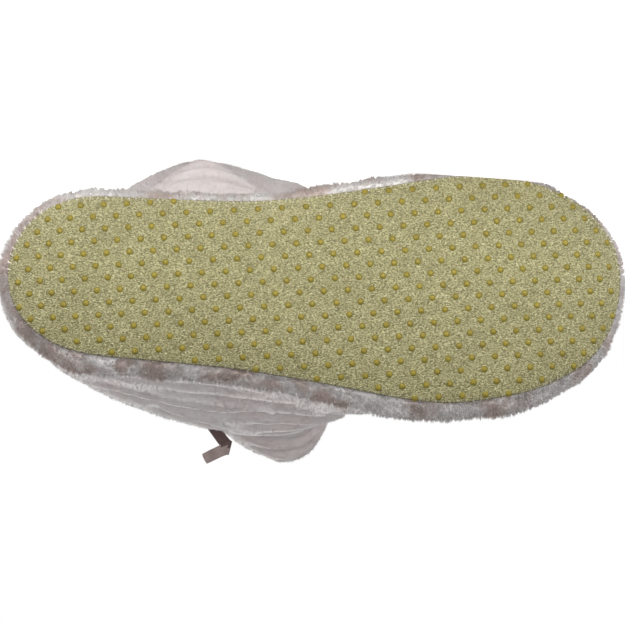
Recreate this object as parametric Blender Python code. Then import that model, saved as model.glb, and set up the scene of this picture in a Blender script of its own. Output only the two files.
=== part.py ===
"""A slack plush bootie slipper for the left foot, lying on its inner side.

Every piece is modelled in the shoe's own frame and hangs on one empty, which tips the shoe over.
Shoe frame: x from the heel seam to the toe, y to the outer side of the foot, z from the ground up.
"""

import math
from typing import NamedTuple

import bmesh
import bpy
import numpy as np
from mathutils import Matrix, Vector

MM = 0.001

# Driving dimensions of the sole, in metres
SOLE_LENGTH = 258 * MM
OUTSOLE_TOP = 4 * MM
OUTSOLE_CROWN = 2.2 * MM
CROWN_WIDTH = 13 * MM
TOE_SPRING = 6 * MM
SPRING_START = 0.78
BAND_TOP = 17 * MM
BAND_INSET = 4.5 * MM
INSOLE_TOP = 10 * MM
GAP = 0.3 * MM

# Driving dimensions of the upper
WALL = 3.0 * MM
RIM_CROWN = 1.2 * MM

# Driving dimensions of the ribbon
RIBBON_WIDTH = 5 * MM
RIBBON_THICK = 0.8 * MM
TIE_CLEARANCE = 0.7 * MM

# How the shoe lies: its collar end is raised, and its heel end too
LEAN = math.radians(10.0)
HEEL_RAISE = math.radians(3.6)
FLOOR_DEPTH = 56.0 * MM

# Steps round a ring, an even number so that heel and toe each have a point
AROUND = 72


class Station(NamedTuple):
    """The outsole at one share of its length, in mm, before its ends are rounded.

    Half widths to either side, and how far the padded band bulges beyond each edge.
    """

    along: float
    outer: float
    inner: float
    outer_bulge: float
    inner_bulge: float


SOLE_STATIONS = (
    Station(0.00, 33.5, 35.0, 5.5, 5.8),
    Station(0.13, 33.4, 34.0, 7.8, 5.0),
    Station(0.30, 36.3, 32.6, 6.4, 4.8),
    Station(0.42, 40.4, 32.7, 6.4, 4.4),
    Station(0.54, 45.2, 36.2, 7.8, 5.4),
    Station(0.64, 50.0, 39.9, 8.8, 4.0),
    Station(0.73, 52.0, 42.8, 6.8, 4.0),
    Station(0.82, 48.5, 41.2, 8.0, 3.7),
    Station(0.92, 46.6, 39.0, 6.8, 3.8),
    Station(1.00, 49.0, 38.0, 3.4, 3.4),
)
HEEL_ROUND = 0.15
HEEL_POWER = 2.0
TOE_ROUND = 0.19
TOE_POWER = 2.2


class Ring(NamedTuple):
    """One level line of the upper, in mm. Widths are half widths.

    fore_outer and fore_inner are the widths of a line shaped like the sole. outer and inner are
    those of the egg-shaped line of a slack shaft, each with the x where it is widest. shaft
    blends from the first, at 0, to the second, at 1. ankle adds a soft bulge at the inner ankle.
    outer_power and inner_power are how full the egg's quarters are: 2 is an ellipse, 1 a straight line.
    """

    z_back: float
    z_front: float
    x_back: float
    x_front: float
    fore_outer: float
    fore_inner: float
    outer: float
    x_outer: float
    inner: float
    x_inner: float
    shaft: float
    ankle: float
    outer_power: float
    inner_power: float


UPPER_RINGS = (
    Ring(17.3, 17.3, 0.8, 257.2, 51.6, 42.0, 52.0, 130, 45.0, 100, 0.00, 0.0, 1.7, 1.5),
    Ring(21.5, 21.5, -2.0, 259.0, 55.0, 44.0, 53.0, 128, 50.0, 95, 0.03, 15.0, 1.7, 1.5),
    Ring(27.5, 29.0, -4.0, 258.5, 55.3, 44.0, 53.3, 126, 53.0, 92, 0.08, 24.0, 1.7, 1.5),
    Ring(35.0, 38.0, -4.5, 253.0, 54.0, 42.5, 54.0, 121, 57.5, 90, 0.22, 22.5, 1.7, 1.5),
    Ring(43.0, 48.0, -3.5, 236.0, 51.5, 40.5, 54.0, 118, 61.5, 88, 0.42, 17.5, 1.7, 1.5),
    Ring(51.0, 57.0, -1.5, 213.0, 48.0, 38.0, 53.5, 115, 64.0, 86, 0.62, 11.0, 1.7, 1.45),
    Ring(59.0, 65.0, 1.0, 191.0, 45.0, 36.0, 53.5, 112, 65.5, 85, 0.80, 5.5, 1.7, 1.4),
    Ring(67.0, 73.0, 2.5, 172.0, 42.0, 34.0, 54.5, 111, 66.5, 84, 0.92, 2.5, 1.7, 1.4),
    Ring(76.0, 81.0, 4.0, 158.0, 40.0, 33.0, 55.5, 110, 67.5, 84, 1.00, 0.0, 1.7, 1.4),
    Ring(86.0, 89.0, 6.0, 151.0, 40.0, 33.0, 55.5, 108, 67.0, 84, 1.00, 0.0, 1.6, 1.45),
    Ring(95.0, 96.5, 11.0, 148.0, 40.0, 33.0, 50.5, 109, 63.5, 84, 1.00, 0.0, 1.45, 1.6),
    Ring(101.5, 102.5, 17.0, 145.0, 40.0, 33.0, 45.8, 111, 57.5, 85, 1.00, 0.0, 1.35, 1.75),
    Ring(106.5, 107.5, 18.0, 145.0, 40.0, 33.0, 46.0, 114, 58.0, 86, 1.00, 0.0, 1.3, 1.85),
    Ring(114.0, 116.0, 17.0, 147.0, 40.0, 33.0, 56.5, 118, 60.5, 85, 1.00, 0.0, 1.2, 1.9),
    Ring(123.0, 125.0, 17.0, 147.0, 40.0, 33.0, 62.0, 120, 61.5, 84, 1.00, 0.0, 1.12, 1.9),
    Ring(131.0, 133.0, 19.0, 145.5, 40.0, 33.0, 60.5, 120, 59.5, 84, 1.00, 0.0, 1.12, 1.9),
)
BACK_POWER = 2.0
OUTER_FRONT_POWER = 2.7
LEVELS_A_RING = 2

# The inner ankle's bulge, and the dent that the bow pulls into the cuff, in mm
ANKLE_AT = 82.0
ANKLE_REACH = 17.0
SAG_AT = 84.0
SAG_REACH = 38.0
SAG_SHARE = 0.36
TIE_RINGS = (11, 12)
PUCKER_AT = 90.0
PUCKER_REACH = 9.0
PUCKER_DEPTH = 5.0
PUCKER_START = 99.0
PUCKER_FULL = 108.0

# The bow: a knot on the tie, a flat loop to either side of it and two tails, in mm
TIE_MIDDLE = (TIE_RINGS[0] + TIE_RINGS[1]) / 2
KNOT_AT = 87.0
KNOT_HALF_LENGTH = 3.2
KNOT_HALF_DEPTH = 2.6
KNOT_REACH = 0.62
BOW_LIFT = 1.8
LOOP_REACH = 15.0
LOOP_HALF_DEPTH = 2.3
LOOP_STEPS = 20
TAIL_ROOT = (86.6, 45.6, 100.0)
TAIL_CREASE = (96.2, 59.0, 100.0)
TAIL_END = (85.5, 64.4, 98.4)
RESTING_TAIL_LENGTH = 24.0
RESTING_TAIL_LIFT = 1.2
RESTING_TAIL_STEPS = 8


def bell(distance, reach):
    """1 at no distance, falling softly to 0."""
    return math.exp(-((distance / reach) ** 2))


def catmull_rom(before, start, end, after, share):
    """A smooth value between start and end, with its neighbours' slopes."""
    square = share * share
    cube = square * share
    return 0.5 * (
        2 * start
        + (end - before) * share
        + (2 * before - 5 * start + 4 * end - after) * square
        + (3 * start - before - 3 * end + after) * cube
    )


def smooth_row(rows, place):
    """The row at a fractional index, each column read from one smooth curve through the table."""
    last = len(rows) - 1
    low = min(int(place), last - 1)
    share = place - low
    around = [rows[min(max(low + step, 0), last)] for step in (-1, 0, 1, 2)]
    return type(rows[0])(*(catmull_rom(*column, share) for column in zip(*around)))


def station_at(along):
    """The sole's table read at a share of its length."""
    for index, (low, high) in enumerate(zip(SOLE_STATIONS, SOLE_STATIONS[1:])):
        if along <= high.along:
            share = (along - low.along) / (high.along - low.along)
            return smooth_row(SOLE_STATIONS, index + share)
    return SOLE_STATIONS[-1]


def end_rounding(along):
    """1 along the sole, falling to 0 at the heel and the toe as a superellipse does."""
    factor = 1.0
    ends = ((along, HEEL_ROUND, HEEL_POWER), (1 - along, TOE_ROUND, TOE_POWER))
    for distance, length, power in ends:
        if distance < length:
            depth = 1 - max(distance, 0) / length
            factor *= (1 - depth**power) ** (1 / power)
    return factor


def sole_half_width(along, outer_side):
    """Half width of the sole in metres."""
    station = station_at(along)
    return (station.outer if outer_side else station.inner) * end_rounding(along) * MM


def turns():
    """Each point round a ring: its share along the shoe's length, and whether it is on the outer side."""
    for step in range(AROUND):
        turn = 2 * math.pi * step / AROUND
        yield (1 - math.cos(turn)) / 2, step <= AROUND // 2


def sole_outline():
    """Points round the outsole's edge, from the heel by the outer side to the toe and back."""
    points = []
    for along, outer_side in turns():
        half = sole_half_width(along, outer_side)
        points.append((along * SOLE_LENGTH, half if outer_side else -half))
    return np.array(points)


def band_bulges():
    """How far the band bulges at each point round the sole, in metres."""
    bulges = []
    for along, outer_side in turns():
        station = station_at(along)
        bulges.append((station.outer_bulge if outer_side else station.inner_bulge) * MM)
    return np.array(bulges)


def offset_outline(outline, outwards):
    """The outline moved along its own normals, by one distance or by one for each point."""
    ahead = np.roll(outline, -1, axis=0)
    behind = np.roll(outline, 1, axis=0)
    tangent = ahead - behind
    tangent /= np.linalg.norm(tangent, axis=1)[:, None]
    normal = np.column_stack((-tangent[:, 1], tangent[:, 0]))
    return outline + normal * np.reshape(outwards, (-1, 1))


def toe_spring(x):
    """How far the toe end is lifted off the ground at x."""
    share = np.clip((x / SOLE_LENGTH - SPRING_START) / (1 - SPRING_START), 0, 1.1)
    return TOE_SPRING * share * share


def level(outline, z):
    """A ring of 3D points at height z over the sprung sole."""
    heights = z + toe_spring(outline[:, 0])
    return np.column_stack((outline, heights))


def world_up_in_shoe():
    """The upward direction of the room, in the shoe's frame, as the shoe lies."""
    return np.array(
        (
            -math.sin(HEEL_RAISE),
            math.cos(LEAN) * math.cos(HEEL_RAISE),
            math.sin(LEAN) * math.cos(HEEL_RAISE),
        )
    )


def pressed_on_floor(points):
    """Points under the floor are moved straight up to it, as soft plush flattens where it lies."""
    up = world_up_in_shoe()
    height = points @ up + FLOOR_DEPTH
    return points - np.minimum(height, 0)[:, None] * up


def egg_point(ring, cosine, sine, outer_side):
    """A point on the level line of a slack shaft: four superellipse quarters."""
    wide_at = ring.x_outer if outer_side else ring.x_inner
    half = ring.outer if outer_side else ring.inner
    power = ring.outer_power if outer_side else ring.inner_power
    if cosine > 0:
        reach = wide_at - ring.x_back
        power += (BACK_POWER - power) * cosine**4
    else:
        reach = ring.x_front - wide_at
        power = OUTER_FRONT_POWER if outer_side else power
    x = wide_at - math.copysign(abs(cosine) ** (2 / power), cosine) * reach
    return x, half * sine ** (2 / power)


def sole_like_point(ring, along, outer_side):
    """A point on a level line that keeps the sole's own shape, shortened and narrowed."""
    widest = max(row.outer if outer_side else row.inner for row in SOLE_STATIONS)
    half = ring.fore_outer if outer_side else ring.fore_inner
    shape = sole_half_width(along, outer_side) / (widest * MM)
    return ring.x_back + (ring.x_front - ring.x_back) * along, half * shape


def upper_ring(place, outwards=0.0):
    """Points round the upper's outside at a fractional row of its table, in metres."""
    ring = smooth_row(UPPER_RINGS, place)
    points = []
    for along, outer_side in turns():
        cosine = 1 - 2 * along
        sine = math.sqrt(max(1 - cosine * cosine, 0.0))
        egg = egg_point(ring, cosine, sine, outer_side)
        flat = sole_like_point(ring, along, outer_side)
        x = flat[0] + (egg[0] - flat[0]) * ring.shaft
        y = flat[1] + (egg[1] - flat[1]) * ring.shaft
        z = ring.z_back + (ring.z_front - ring.z_back) * along
        if outer_side:
            pulled = min(max((z - PUCKER_START) / (PUCKER_FULL - PUCKER_START), 0.0), 1.0)
            y -= PUCKER_DEPTH * pulled * bell(x - PUCKER_AT, PUCKER_REACH)
        else:
            sag = SAG_SHARE * bell(x - SAG_AT, SAG_REACH)
            y += ring.ankle * (sag + (1 - SAG_SHARE) * bell(x - ANKLE_AT, ANKLE_REACH))
        points.append((x * MM, y * MM if outer_side else -y * MM, z * MM))
    points = np.array(points)
    points[:, :2] = offset_outline(points[:, :2], outwards)
    fade = np.clip(1 - (points[:, 2] - BAND_TOP) / (40 * MM), 0, 1)
    points[:, 2] += toe_spring(points[:, 0]) * fade
    return pressed_on_floor(points)


def clear_scene():
    for obj in list(bpy.data.objects):
        bpy.data.objects.remove(obj)


def new_material(name, colour, roughness, metallic=0.0):
    material = bpy.data.materials.new(name)
    material.use_nodes = True
    shader = material.node_tree.nodes["Principled BSDF"]
    shader.inputs["Base Color"].default_value = (*colour, 1.0)
    shader.inputs["Roughness"].default_value = roughness
    shader.inputs["Metallic"].default_value = metallic
    material.diffuse_color = (*colour, 1.0)
    return material


def add_ladder_cap(mesh, row):
    """Fills a ring with strips that run straight across the shoe, so that it follows the toe spring."""
    count = len(row)
    for step in range(count // 2):
        corners = [row[step], row[step + 1], row[count - step - 1], row[-step]]
        mesh.faces.new(dict.fromkeys(corners))


def add_loft(name, rings, material, caps=False, closed=False):
    """A skin of quads over rings with the same number of points, with flat caps or as a closed loop."""
    mesh = bmesh.new()
    rows = [[mesh.verts.new(point) for point in ring] for ring in rings]
    count = len(rows[0])
    pairs = list(zip(rows, rows[1:]))
    if closed:
        pairs.append((rows[-1], rows[0]))
    for low, high in pairs:
        for step in range(count):
            ahead = (step + 1) % count
            mesh.faces.new((low[step], low[ahead], high[ahead], high[step]))
    if caps:
        for row in (rows[0], rows[-1]):
            add_ladder_cap(mesh, row)
    data = bpy.data.meshes.new(name)
    mesh.to_mesh(data)
    mesh.free()
    data.shade_smooth()
    data.materials.append(material)
    obj = bpy.data.objects.new(name, data)
    return obj


def recalculated(obj):
    """The object with its faces pointing out."""
    mesh = bmesh.new()
    mesh.from_mesh(obj.data)
    bmesh.ops.recalc_face_normals(mesh, faces=mesh.faces)
    mesh.to_mesh(obj.data)
    mesh.free()
    return obj


def make_outsole(outline, material):
    """A fabric panel, flat in the middle, whose rim curves up towards its seam."""
    steps = 4
    rings = [level(offset_outline(outline, -CROWN_WIDTH * 1.15), 0.0)]
    for step in range(steps + 1):
        share = step / steps
        inset = CROWN_WIDTH * (1 - share)
        rings.append(level(offset_outline(outline, -inset), OUTSOLE_CROWN * share**2))
    rings.append(level(outline, OUTSOLE_TOP - 0.4 * MM))
    rings.append(level(offset_outline(outline, -0.5 * MM), OUTSOLE_TOP))
    rings = [pressed_on_floor(ring) for ring in rings]
    return recalculated(add_loft("outsole", rings, material, caps=True))


def make_band(outline, material):
    """The padded strip round the platform: a bulging outside, a flat top and a flat inner wall."""
    foot = OUTSOLE_TOP + GAP
    bulges = band_bulges()
    steps = 8
    rings = [level(offset_outline(outline, -BAND_INSET), foot)]
    for step in range(steps + 1):
        share = step / steps
        fullness = math.sin(math.pi * (0.06 + 0.86 * share)) ** 0.75
        ring = offset_outline(outline, bulges * fullness)
        rings.append(level(ring, foot + (BAND_TOP - foot) * share))
    rings.append(level(offset_outline(outline, -BAND_INSET), BAND_TOP))
    rings = [pressed_on_floor(ring) for ring in rings]
    return recalculated(add_loft("platform_band", rings, material, closed=True))


def make_insole(outline, material):
    """The foam footbed inside the band, with a softly rounded top edge."""
    edge = -(BAND_INSET + GAP)
    rings = (
        level(offset_outline(outline, edge), OUTSOLE_TOP + GAP),
        level(offset_outline(outline, edge), INSOLE_TOP - 2 * MM),
        level(offset_outline(outline, edge - 0.8 * MM), INSOLE_TOP - 0.6 * MM),
        level(offset_outline(outline, edge - 2.4 * MM), INSOLE_TOP),
    )
    return recalculated(add_loft("insole", rings, material, caps=True))


def upper_rings():
    """The rings of the upper's outside, from the band to the collar's edge."""
    last = (len(UPPER_RINGS) - 1) * LEVELS_A_RING
    return np.array([upper_ring(step / LEVELS_A_RING) for step in range(last + 1)])


def inside_of(rings, thickness):
    """The same rings moved in along the surface's normals, and not below their own foot."""
    around = np.roll(rings, -1, axis=1) - np.roll(rings, 1, axis=1)
    upwards = np.gradient(rings, axis=0)
    normal = np.cross(upwards, around)
    normal /= np.linalg.norm(normal, axis=2)[:, :, None]
    inside = rings - normal * thickness
    inside[:, :, 2] = np.maximum(inside[:, :, 2], rings[0, :, 2])
    inside[0, :, 2] = rings[0, :, 2]
    return inside


def make_upper(material):
    """Vamp, quarters, shaft and cuff as one soft wall, open at the collar and over the sole."""
    outside = upper_rings()
    inside = inside_of(outside, WALL)
    rim = (outside[-1] + inside[-1]) / 2
    rim[:, 2] += RIM_CROWN
    rings = [*outside, rim, *inside[::-LEVELS_A_RING]]
    return recalculated(add_loft("upper", rings, material, closed=True))


def make_tie(material):
    """The ribbon drawn round the shaft, pulled into the waist under the cuff."""
    low, high = TIE_RINGS
    near, far = TIE_CLEARANCE, TIE_CLEARANCE + RIBBON_THICK
    places = [low + (high - low) * step / LEVELS_A_RING for step in range(LEVELS_A_RING + 1)]
    outer = [upper_ring(place, far) for place in places]
    inner = [upper_ring(place, near) for place in reversed(places)]
    return recalculated(add_loft("ribbon_tie", [*outer, *inner], material, closed=True))


def beside_shaft(x, place, out):
    """The point at x on the outer side of a ring of the upper, so far out from it. x and out in mm."""
    ring = upper_ring(place, out * MM)[: AROUND // 2 + 1]
    return np.array([np.interp(x * MM, ring[:, 0], ring[:, axis]) for axis in range(3)])


def make_knot(material):
    """The bow's knot, a rounded cushion that sits on the tie."""
    middle = BOW_LIFT + KNOT_HALF_DEPTH
    rings = []
    for share, size in ((-1.0, 0.6), (-0.7, 0.9), (0.0, 1.0), (0.7, 0.9), (1.0, 0.6)):
        ring = []
        for step in range(14):
            turn = 2 * math.pi * step / 14
            aside = math.copysign(abs(math.cos(turn)) ** 0.7, math.cos(turn))
            out = math.copysign(abs(math.sin(turn)) ** 0.7, math.sin(turn))
            x = KNOT_AT + KNOT_HALF_LENGTH * size * aside
            lift = middle + KNOT_HALF_DEPTH * size * out
            ring.append(beside_shaft(x, TIE_MIDDLE + KNOT_REACH * share, lift))
        rings.append(ring)
    return recalculated(add_loft("bow_knot", rings, material, caps=True))


def add_ribbon(name, stations, material, closed=False):
    """A length of ribbon. Each station is its two edges and the way its face looks."""
    rings = []
    for left, right, face in stations:
        half = Vector(face).normalized() * (RIBBON_THICK / 2)
        edges = Vector(left), Vector(right)
        rings.append((edges[0] - half, edges[1] - half, edges[1] + half, edges[0] + half))
    return recalculated(add_loft(name, rings, material, caps=not closed, closed=closed))


def make_loop(name, towards, material):
    """One flat loop of the bow, lying along the tie. towards is 1 to the toe and -1 to the heel."""
    start = KNOT_HALF_LENGTH + 0.8
    edges = []
    for step in range(LOOP_STEPS):
        turn = 2 * math.pi * step / LOOP_STEPS
        share = (1 - math.cos(turn)) / 2
        rise = math.copysign(abs(math.sin(turn)) ** 0.6, math.sin(turn)) * (0.45 + 0.55 * share)
        x = KNOT_AT + towards * (start + LOOP_REACH * share)
        lift = BOW_LIFT + 0.4 + LOOP_HALF_DEPTH * (1 + rise)
        edges.append([Vector(beside_shaft(x, ring, lift)) for ring in TIE_RINGS])
    stations = []
    for step, (left, right) in enumerate(edges):
        ahead = edges[(step + 1) % LOOP_STEPS][0]
        behind = edges[step - 1][0]
        stations.append((left, right, (ahead - behind).cross(right - left)))
    return add_ribbon(name, stations, material, closed=True)


def make_folded_tail(material):
    """The tail that shows beside the ankle: out from the knot, creased and folded back, all flat."""
    start, crease, end = (Vector(place) * MM for place in (TAIL_ROOT, TAIL_CREASE, TAIL_END))
    down = Vector((0, 0, -1))
    out = (crease - start).normalized()
    back = (end - crease - Vector((0, 0, end.z - crease.z))).normalized()
    along_crease = (out + back).normalized()
    half_crease = along_crease * (RIBBON_WIDTH / 2) / abs(along_crease.cross(out).z)
    across_out = out.cross(down) * (RIBBON_WIDTH / 2)
    across_back = back.cross(down) * (RIBBON_WIDTH / 2)
    if across_out.dot(half_crease) < 0:
        across_out = -across_out
    if across_back.dot(half_crease) < 0:
        across_back = -across_back
    round_crease = (out - back).normalized()
    layer = Vector((0, 0, end.z - crease.z))
    turned = crease + layer / 2 + round_crease * (abs(layer.z) / 2)
    stations = (
        (start - across_out, start + across_out, -down),
        (crease - half_crease, crease + half_crease, -down),
        (turned - half_crease, turned + half_crease, round_crease),
        (crease + layer - half_crease, crease + layer + half_crease, down),
        (end - across_back, end + across_back, down),
    )
    return add_ribbon("bow_tail_folded", stations, material)


def make_resting_tail(material):
    """The other tail, lying on the plush under the bow's heel loop."""
    stations = []
    for step in range(RESTING_TAIL_STEPS + 1):
        share = step / RESTING_TAIL_STEPS
        x = KNOT_AT - KNOT_HALF_LENGTH - RESTING_TAIL_LENGTH * share
        place = 10.42 - 0.75 * share
        left, right, middle, ahead = (
            Vector(beside_shaft(x + forward, place + aside, RESTING_TAIL_LIFT))
            for forward, aside in ((0, -0.36), (0, 0.36), (0, 0), (-1, 0))
        )
        stations.append((left, right, (ahead - middle).cross(right - left)))
    return add_ribbon("bow_tail_resting", stations, material)


def centred_on_the_floor(pieces, tipped):
    """Where the shoe stands so that the middle of its bounding box is at x = 0 and y = 0."""
    points = np.vstack([[tipped @ corner.co for corner in piece.data.vertices] for piece in pieces])
    middle = (points.min(axis=0) + points.max(axis=0)) / 2
    return Matrix.Translation(Vector((-middle[0], -middle[1], FLOOR_DEPTH)))


def main():
    clear_scene()
    plush = new_material("plush", (0.62, 0.56, 0.55), 0.95)
    sole_cloth = new_material("sole_cloth", (0.48, 0.44, 0.26), 0.95)
    footbed = new_material("footbed", (0.66, 0.60, 0.58), 0.95)
    ribbon = new_material("ribbon", (0.46, 0.30, 0.27), 0.6)
    outline = sole_outline()
    pieces = [
        make_outsole(outline, sole_cloth),
        make_band(outline, plush),
        make_insole(outline, footbed),
        make_upper(plush),
        make_tie(ribbon),
        make_knot(ribbon),
        make_loop("bow_loop_toe", 1, ribbon),
        make_loop("bow_loop_heel", -1, ribbon),
        make_folded_tail(ribbon),
        make_resting_tail(ribbon),
    ]
    collection = bpy.data.collections.new("bootie_slipper")
    bpy.context.scene.collection.children.link(collection)
    lying = bpy.data.objects.new("lying_shoe", None)
    collection.objects.link(lying)
    for piece in pieces:
        collection.objects.link(piece)
        piece.parent = lying
    tipped = (
        Matrix.Rotation(-HEEL_RAISE, 4, "Y")
        @ Matrix.Rotation(LEAN - math.pi / 2, 4, "X")
        @ Matrix.Rotation(math.pi, 4, "Z")
    )
    lying.matrix_world = centred_on_the_floor(pieces, tipped) @ tipped


main()
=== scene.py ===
"""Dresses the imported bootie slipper: plush upper and platform, suede-like sole cloth with
rubber grip dots, a fleece footbed and a satin ribbon, on a pale studio floor."""

from math import cos, pi, radians, sin, tan

import bpy
import numpy as np
from bpy.props import FloatProperty, FloatVectorProperty, IntProperty, PointerProperty
from mathutils import Matrix, Vector, noise
from mathutils.bvhtree import BVHTree
from mathutils.kdtree import KDTree


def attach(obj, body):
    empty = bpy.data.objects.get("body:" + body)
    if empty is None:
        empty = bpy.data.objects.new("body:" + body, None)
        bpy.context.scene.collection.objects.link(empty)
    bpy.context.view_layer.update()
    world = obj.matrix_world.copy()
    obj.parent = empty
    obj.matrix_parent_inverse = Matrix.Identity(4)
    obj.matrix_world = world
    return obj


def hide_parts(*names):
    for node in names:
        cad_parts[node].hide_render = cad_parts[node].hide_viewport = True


bl_info = {
    "name": "Bootie slipper dressing",
    "version": (1, 0, 0),
    "blender": (4, 5, 0),
    "location": "3D View > Sidebar > Slipper",
    "description": "Dresses the packed bootie slipper in plush, sole cloth, grip dots and ribbon",
    "category": "Add Mesh",
}

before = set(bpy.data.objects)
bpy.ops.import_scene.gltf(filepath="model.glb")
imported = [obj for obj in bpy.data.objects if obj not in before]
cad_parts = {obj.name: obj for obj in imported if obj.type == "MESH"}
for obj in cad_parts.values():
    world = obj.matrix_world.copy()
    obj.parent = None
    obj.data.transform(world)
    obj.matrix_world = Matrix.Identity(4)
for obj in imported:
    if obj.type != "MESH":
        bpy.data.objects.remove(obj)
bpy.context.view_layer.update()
MM = 0.001
# The noise's field of directions starts from the clock unless it is seeded.
noise.seed_set(7)

# Below, lengths are the shoe's millimetres unless they say metres. The shoe's own axes are x from
# heel to toe, y to the outer side and z up from the ground.

# How the shoe lies on its inner side.
LEAN = radians(10)
HEEL_RAISE = radians(3.6)
SOLE_INNER_REACH = 42.76

# The lowest that cloth, and that pile, dots and thread, come to the floor, in metres.
CLOTH_LOWEST = 0.0001
TRIM_LOWEST = 0.00005

# The shaft's middle in plan, where its ribbon is, and the pleats that the ribbon gathers.
SHAFT_CENTRE = (82.0, -6.0)
TIE_HEIGHT = 104.5
TIE_HALF_WIDTH = 3.4
PLEATS = 25
PLEAT_DEPTH = 2.0
PLEAT_REACH = 6.0

# The upper's wall, how much of a crease fades out at its ends, and the cloth's gentle unevenness,
# which begins above the band.
WALL = 3.0
CREASE_FADE = 0.35
UNEVEN_DEPTH = 0.5
UNEVEN_FROM = 24
UNEVEN_BLEND = 10

# The foot's middle line in plan, and how far the sole cloth is drawn past the outsole's edge.
SOLE_MIDDLE_RUN = (45, 205)
SOLE_MIDDLE_Y = 3.0
SOLE_HALF_WIDTH = 42
EDGE_DRAW = 1.1
INNER_TOE_DRAW = 2.2
TOE_DRAW = 1.0
OUTER_HEEL_DRAW = 1.3

# How far the band's cloth sits back so that its pile ends at the platform's own outline.
PILE_ROOM = 0.7
HEEL_ROOM = 1.0
OUTER_TOE_ROOM = 2.2
INNER_TOE_FULLNESS = 1.6
TOE_END_FULLNESS = 1.4

# Each pile: its seed, its fibres' width, how far they lean along the nap, how far apart their tufts
# stand, and how far the tips of a tuft are drawn together.
SHAFT_PILE = {"seed": 11, "width": 0.34, "lean": 0.5, "tuft": 3.0, "gather": 0.12}
BAND_PILE = {"seed": 12, "width": 0.44, "lean": 0.1, "tuft": 4.0, "gather": 0.6}
LINING_PILE = {"seed": 13, "width": 0.42, "lean": 0.3, "tuft": 4.0, "gather": 0.5}
FOOTBED_PILE = {"seed": 14, "width": 0.45, "lean": 0.0, "tuft": 4.0, "gather": 0.5}
LINING_FIBRES = 60000
FOOTBED_FIBRES = 26000
# Which way the nap leans, how deep the roots sit, and how high up the upper its pile begins.
NAP = (0.35, 0.0, -0.6)
ROOT_DEPTH = 0.25
OUTER_PILE_FROM = 19
INNER_PILE_FROM = 14

# Each plush: the scale of its patches, the dusky colour's share and the share of long streaks.
SHAFT_PATCHES = (34, 0.6, 0.4)
BAND_PATCHES = (62, 0.95, 0.1)
FLEECE_PATCHES = (60, 0, 0.1)

# The dot lattice: its rows and columns, one dot's place, how the rows slant, the gap from row to row
# in pitches, and how the cloth's turned-up ends draw the dots together.
DOT_ROWS = range(-12, 13)
DOT_COLUMNS = range(-15, 16)
DOT_START = (127.0, 1.0)
ROWS_RISE = radians(3.6)
ROW_GAP = 0.516
END_DRAW = 0.0023
# A dot's sides, its lowest disc, the steps of its dome, its spread foot and how deep it sits.
DOT_SIDES = 10
DOT_FOOT = 0.3
DOT_DOME = ((0.80, 0.42), (0.55, 0.22))
DOT_SPREAD = 1.28
DOT_SUNK = 0.12

# One stitch, outwards, up and along the edge; its thread is pulled in deep on the outer side.
STITCH = ((-1.3, -0.7, -0.4), (-0.6, -0.95, -0.1), (0.25, -0.3, 0.3), (0.35, 2.6, 0.7))
THREAD_RADIUS = 0.36
SUNK_THREAD_RADIUS = 0.13
EDGE_MIDDLE = (129.0, 3.0, 0.0)
EDGE_STEPS = 1400

# The ribbon's parts. The folded tail's crease, and the ways from it to the knot and to its end.
RIBBON_NODES = (
    "ribbon_tie", "bow_knot", "bow_loop_toe", "bow_loop_heel", "bow_tail_folded", "bow_tail_resting",
)
TAIL_CREASE = (96.2, 59.0, 100.0)
TAIL_TO_KNOT = (-0.58, -0.81, 0.0)
TAIL_TO_END = (-0.88, 0.45, -0.13)

# The photograph's view: what it looks at, how it is turned, and its scale.
TARGET = (127.7, 15.2, 0.0)
CAMERA_TILT = radians(10)
CAMERA_SWING = radians(3.5)
CAMERA_DISTANCE = 1700.0
PIXELS_PER_MM = 2.368
IMAGE_WIDTH = 625
SENSOR = 36.0

# The surround's and the floor's own light on the shoe, and the floor's where the camera sees it.
SURROUND_LIGHT = 0.27
FLOOR_LIGHT = 0.38
FLOOR_SEEN = 0.75
FLOOR_SIZE = 8
FLOOR_HEIGHT = -0.0003
# The soft panels: name, place, what they face, width and height, all in metres, and watts.
SOFTBOXES = (
    ("floor strip", (0.0, -0.17, 0.006), (0, -0.07, 0.01), 0.5, 0.012, 0.055),
    ("near strip", (0.0, -0.135, 0.004), (0, -0.07, 0.004), 0.36, 0.008, 0.09),
    ("left panel", (-1.1, -1.2, 0.5), (0, 0, 0.06), 0.9, 0.9, 4.0),
    ("right panel", (1.1, -1.2, 0.5), (0, 0, 0.06), 0.9, 0.9, 4.0),
    ("back panel", (0.25, 1.0, 1.1), (0, 0.02, 0.05), 0.8, 0.8, 20),
)

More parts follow.
